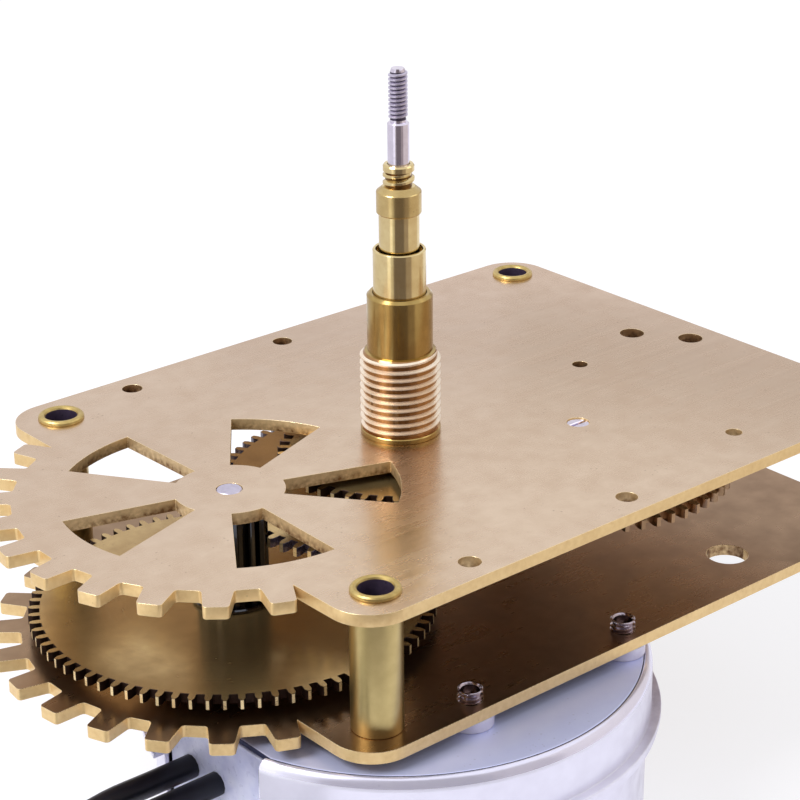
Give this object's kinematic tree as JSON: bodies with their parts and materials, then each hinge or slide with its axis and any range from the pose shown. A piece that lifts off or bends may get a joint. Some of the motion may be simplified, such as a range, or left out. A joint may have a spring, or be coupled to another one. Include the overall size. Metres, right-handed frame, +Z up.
{
  "type": "electric clock movement",
  "caption": "Electric clock movement: open brass plates with a toothed lobe, gear train, concentric hand shafts in a threaded bush, round synchronous motor below.",
  "frame": {"origin": "on the axis of the hands, at the top face of the top plate", "axes": "+Z up the hand shafts, +X from the toothed lobe to the plain end, +Y across the plates to the long edge away from the motor"},
  "size_m": [0.1507, 0.0822, 0.0923],
  "materials": {
    "plate_brass": "satin",
    "pillar_brass": "satin",
    "shaft_brass": "polished",
    "wheel_brass": "polished",
    "pinion_steel": "dark, oiled",
    "arbor_steel": "polished",
    "motor_zinc": "satin",
    "motor_bright": "bright plated",
    "motor_iron": "dull",
    "copper_winding": "enamelled",
    "screw_chrome": "bright",
    "nylon": "translucent",
    "terminal_nylon": "translucent",
    "tinned_brass": "tinned",
    "lead_black": "soft sheen",
    "tie_white": "matte"
  },
  "bodies": {
    "movement": {"top_plate": "plate_brass", "bottom_plate": "plate_brass", "pillar_front_lobe": "pillar_brass", "pillar_back_lobe": "pillar_brass", "pillar_front_end": "pillar_brass", "pillar_back_end": "pillar_brass", "centre_bush": "shaft_brass", "motion_stud": "arbor_steel", "stud_clip": "arbor_steel", "motor_face": "motor_zinc", "motor_shell": "motor_bright", "motor_rear_can": "motor_bright", "motor_core": "motor_iron", "motor_coil": "copper_winding", "motor_bearing": "shaft_brass", "motor_studs": "screw_chrome", "nylon_washers": "nylon", "terminal_block": "terminal_nylon", "terminal_tabs": "tinned_brass", "lead_a": "lead_black", "lead_b": "lead_black", "lead_coil": "lead_black", "lead_tie": "tie_white", "lead_tips": "tinned_brass"},
    "seconds": {"motor_spindle": "arbor_steel", "spindle_coupling": "shaft_brass", "seconds_pinion": "pinion_steel", "seconds_collar": "shaft_brass", "seconds_arbor": "arbor_steel"},
    "transfer": {"transfer_arbor": "arbor_steel", "transfer_hub": "pinion_steel", "transfer_wheel": "wheel_brass", "transfer_pinion": "pinion_steel"},
    "minutes": {"minute_pipe": "shaft_brass", "cannon_pinion": "shaft_brass", "centre_wheel": "wheel_brass", "clutch_spring": "shaft_brass", "clutch_collet": "shaft_brass"},
    "motion": {"motion_pinion": "shaft_brass", "minute_wheel": "wheel_brass"},
    "hours": {"hour_pipe": "shaft_brass", "hour_wheel": "wheel_brass"}
  },
  "joints": [
    {"name": "transfer_turn", "type": "hinge", "parent": "movement", "child": "transfer", "pos_m": [-0.0264, 0.0004, 0], "axis": [0, 0, 1], "continuous": true},
    {"name": "seconds_turn", "type": "hinge", "parent": "movement", "child": "seconds", "pos_m": [0, 0, 0], "axis": [0, 0, 1], "continuous": true},
    {"name": "minute_turn", "type": "hinge", "parent": "movement", "child": "minutes", "pos_m": [0, 0, 0], "axis": [0, 0, 1], "continuous": true},
    {"name": "motion_turn", "type": "hinge", "parent": "movement", "child": "motion", "pos_m": [0.01804, -0.01316, 0], "axis": [0, 0, 1], "continuous": true},
    {"name": "hour_turn", "type": "hinge", "parent": "movement", "child": "hours", "pos_m": [0, 0, 0], "axis": [0, 0, 1], "continuous": true}
  ],
  "couplings": [
    {"joint": "seconds_turn", "follows": "transfer_turn", "ratio": -10},
    {"joint": "minute_turn", "follows": "transfer_turn", "ratio": -0.16667},
    {"joint": "motion_turn", "follows": "transfer_turn", "ratio": 0.027778},
    {"joint": "hour_turn", "follows": "transfer_turn", "ratio": -0.013889}
  ]
}
